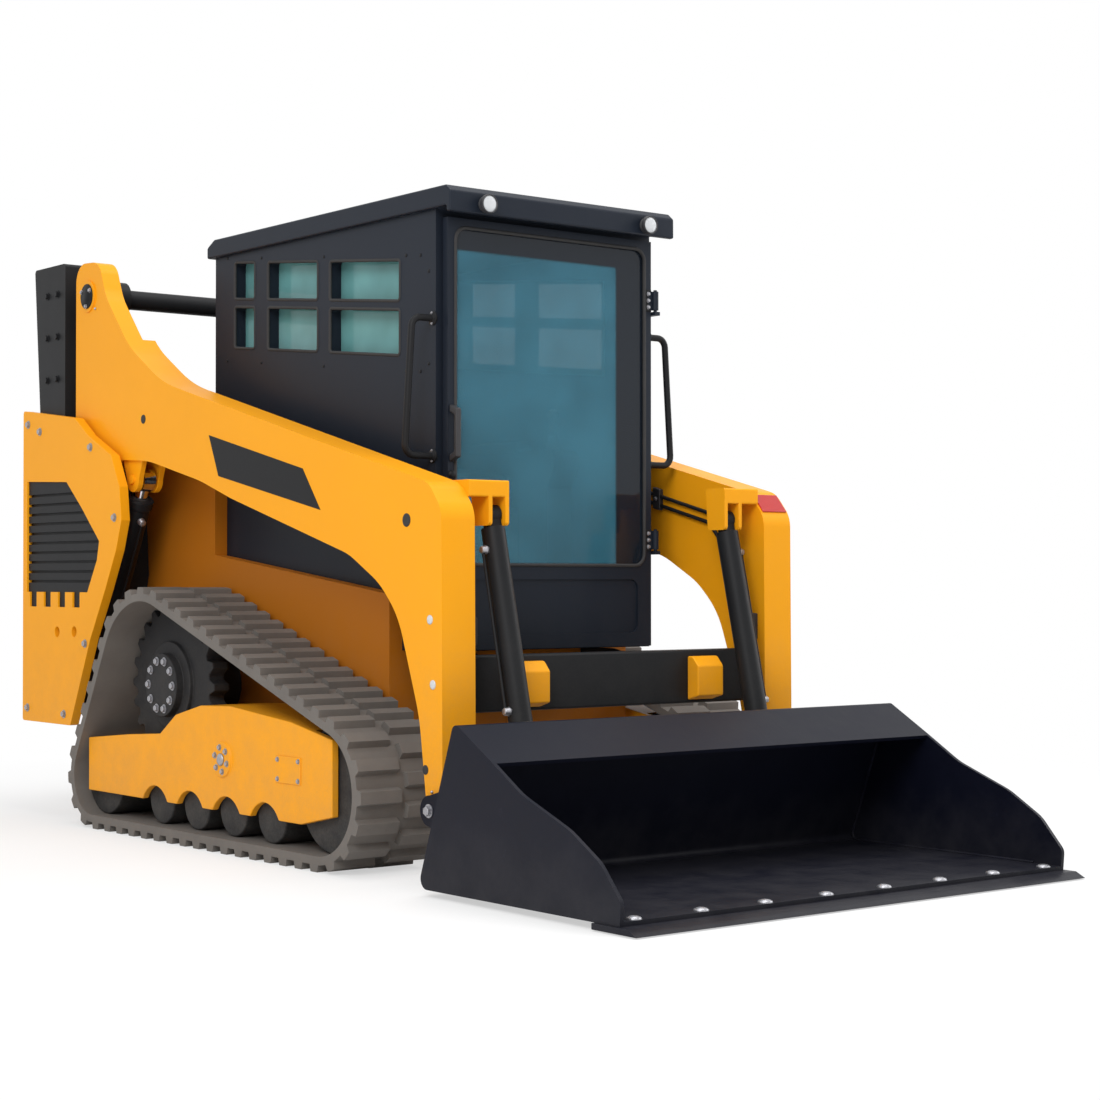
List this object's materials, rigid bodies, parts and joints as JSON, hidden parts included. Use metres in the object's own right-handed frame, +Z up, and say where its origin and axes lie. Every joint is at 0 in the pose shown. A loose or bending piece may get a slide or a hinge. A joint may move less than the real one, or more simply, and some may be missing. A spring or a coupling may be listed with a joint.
{
  "type": "compact track loader",
  "caption": "Compact track loader: enclosed cab on rubber tracks, with radial lift arms, a dirt bucket and lift and tilt cylinders.",
  "frame": {"origin": "on the ground, at the centre of the bounding box's bottom face: midway between the cutting edge's tip and the rear panels, and midway between the sides", "axes": "-Y is the machine's front, where the bucket is; +X is its left side; +Z is up"},
  "size_m": [1.75, 3.751, 2.115],
  "materials": {
    "body_yellow": "satin paint, warm yellow",
    "cab_dark": "satin paint, dark blue grey",
    "frame_black": "satin black paint",
    "bucket_black": "worn satin black paint",
    "track_rubber": "dusty matte rubber",
    "track_steel": "dusty dark grey paint",
    "rod_chrome": "polished",
    "cab_glass": "tinted blue green",
    "lamp_lens": "clear lens",
    "lamp_red": "red lens",
    "trim_plastic": "grained plastic",
    "seat_vinyl": "dark vinyl",
    "engine_iron": "as cast"
  },
  "bodies": {
    "chassis": {"cab_floor": "cab_dark", "cab_frame": "cab_dark", "cab_roof": "cab_dark", "consoles": "trim_plastic", "drive_sprockets": "track_steel", "engine_block": "engine_iron", "front_step": "frame_black", "grab_rails": "frame_black", "main_frame": "body_yellow", "quarter_panels": "body_yellow", "rear_bumper": "frame_black", "rear_lamps": "lamp_red", "rear_window": "cab_glass", "seat": "seat_vinyl", "seat_base": "trim_plastic", "side_vents": "frame_black", "side_windows": "cab_glass", "towers": "frame_black", "track_frame_left": "body_yellow", "track_frame_right": "body_yellow", "track_left": "track_rubber", "track_right": "track_rubber", "track_wheels_left": "track_steel", "track_wheels_right": "track_steel", "work_lamps": "lamp_lens"},
    "arms": {"arm_left": "body_yellow", "arm_right": "body_yellow", "pivot_tube": "frame_black", "front_cross_tube": "frame_black", "coupler_stops": "body_yellow"},
    "bucket": {"coupler": "bucket_black", "bucket_shell": "bucket_black", "cutting_edge": "bucket_black"},
    "cab_door": {"door_frame": "cab_dark", "door_glass": "cab_glass", "door_handle": "trim_plastic"},
    "rear_door": {"rear_door": "body_yellow", "rear_grille": "frame_black"},
    "hood": {"hood": "frame_black"},
    "lift_barrel_left": {"lift_barrel_left": "frame_black"},
    "lift_barrel_right": {"lift_barrel_right": "frame_black"},
    "lift_rod_left": {"lift_rod_left": "rod_chrome"},
    "lift_rod_right": {"lift_rod_right": "rod_chrome"},
    "tilt_barrel_left": {"tilt_barrel_left": "frame_black"},
    "tilt_barrel_right": {"tilt_barrel_right": "frame_black"},
    "tilt_rod_left": {"tilt_rod_left": "rod_chrome"},
    "tilt_rod_right": {"tilt_rod_right": "rod_chrome"}
  },
  "joints": [
    {"name": "arm_lift", "type": "hinge", "parent": "chassis", "child": "arms", "pos_m": [0, 1.43, 1.93], "axis": [-1, 0, 0], "range_deg": [0, 60]},
    {"name": "bucket_tilt", "type": "hinge", "parent": "arms", "child": "bucket", "pos_m": [0, -0.78, 0.215], "axis": [-1, 0, 0], "range_deg": [-98, 25]},
    {"name": "cab_door_swing", "type": "hinge", "parent": "chassis", "child": "cab_door", "pos_m": [0.43, -0.454, 1.4], "axis": [0, 0, 1], "range_deg": [0, 90]},
    {"name": "rear_door_swing", "type": "hinge", "parent": "chassis", "child": "rear_door", "pos_m": [0.481, 1.862, 1], "axis": [0, 0, -1], "range_deg": [0, 100]},
    {"name": "hood_lift", "type": "hinge", "parent": "chassis", "child": "hood", "pos_m": [0, 0.99, 1.5], "axis": [1, 0, 0], "range_deg": [0, 32]},
    {"name": "lift_barrel_left_pivot", "type": "hinge", "parent": "chassis", "child": "lift_barrel_left", "pos_m": [0.645, 1.56, 0.42], "axis": [1, 0, 0], "range_deg": [-0.5, 3]},
    {"name": "lift_rod_left_slide", "type": "slide", "parent": "lift_barrel_left", "child": "lift_rod_left", "axis": [0, -0.4884, 0.8726], "range_m": [0, 0.765]},
    {"name": "lift_barrel_right_pivot", "type": "hinge", "parent": "chassis", "child": "lift_barrel_right", "pos_m": [-0.645, 1.56, 0.42], "axis": [1, 0, 0], "range_deg": [-0.5, 3]},
    {"name": "lift_rod_right_slide", "type": "slide", "parent": "lift_barrel_right", "child": "lift_rod_right", "axis": [0, -0.4884, 0.8726], "range_m": [0, 0.765]},
    {"name": "tilt_barrel_left_pivot", "type": "hinge", "parent": "arms", "child": "tilt_barrel_left", "pos_m": [0.475, -0.745, 1.08], "axis": [-1, 0, 0], "range_deg": [-5, 1.5]},
    {"name": "tilt_rod_left_slide", "type": "slide", "parent": "tilt_barrel_left", "child": "tilt_rod_left", "axis": [0, -0.2308, -0.973], "range_m": [-0.066, 0.254]},
    {"name": "tilt_barrel_right_pivot", "type": "hinge", "parent": "arms", "child": "tilt_barrel_right", "pos_m": [-0.475, -0.745, 1.08], "axis": [-1, 0, 0], "range_deg": [-5, 1.5]},
    {"name": "tilt_rod_right_slide", "type": "slide", "parent": "tilt_barrel_right", "child": "tilt_rod_right", "axis": [0, -0.2308, -0.973], "range_m": [-0.066, 0.254]}
  ],
  "couplings": [
    {"joint": "lift_barrel_left_pivot", "follows": "arm_lift", "ratio": 0.03836},
    {"joint": "lift_rod_left_slide", "follows": "arm_lift", "m_per_rad": 0.72704},
    {"joint": "lift_barrel_right_pivot", "follows": "arm_lift", "ratio": 0.03836},
    {"joint": "lift_rod_right_slide", "follows": "arm_lift", "m_per_rad": 0.72704},
    {"joint": "tilt_barrel_left_pivot", "follows": "bucket_tilt", "ratio": 0.05},
    {"joint": "tilt_rod_left_slide", "follows": "bucket_tilt", "m_per_rad": -0.1469},
    {"joint": "tilt_barrel_right_pivot", "follows": "bucket_tilt", "ratio": 0.05},
    {"joint": "tilt_rod_right_slide", "follows": "bucket_tilt", "m_per_rad": -0.1469}
  ]
}
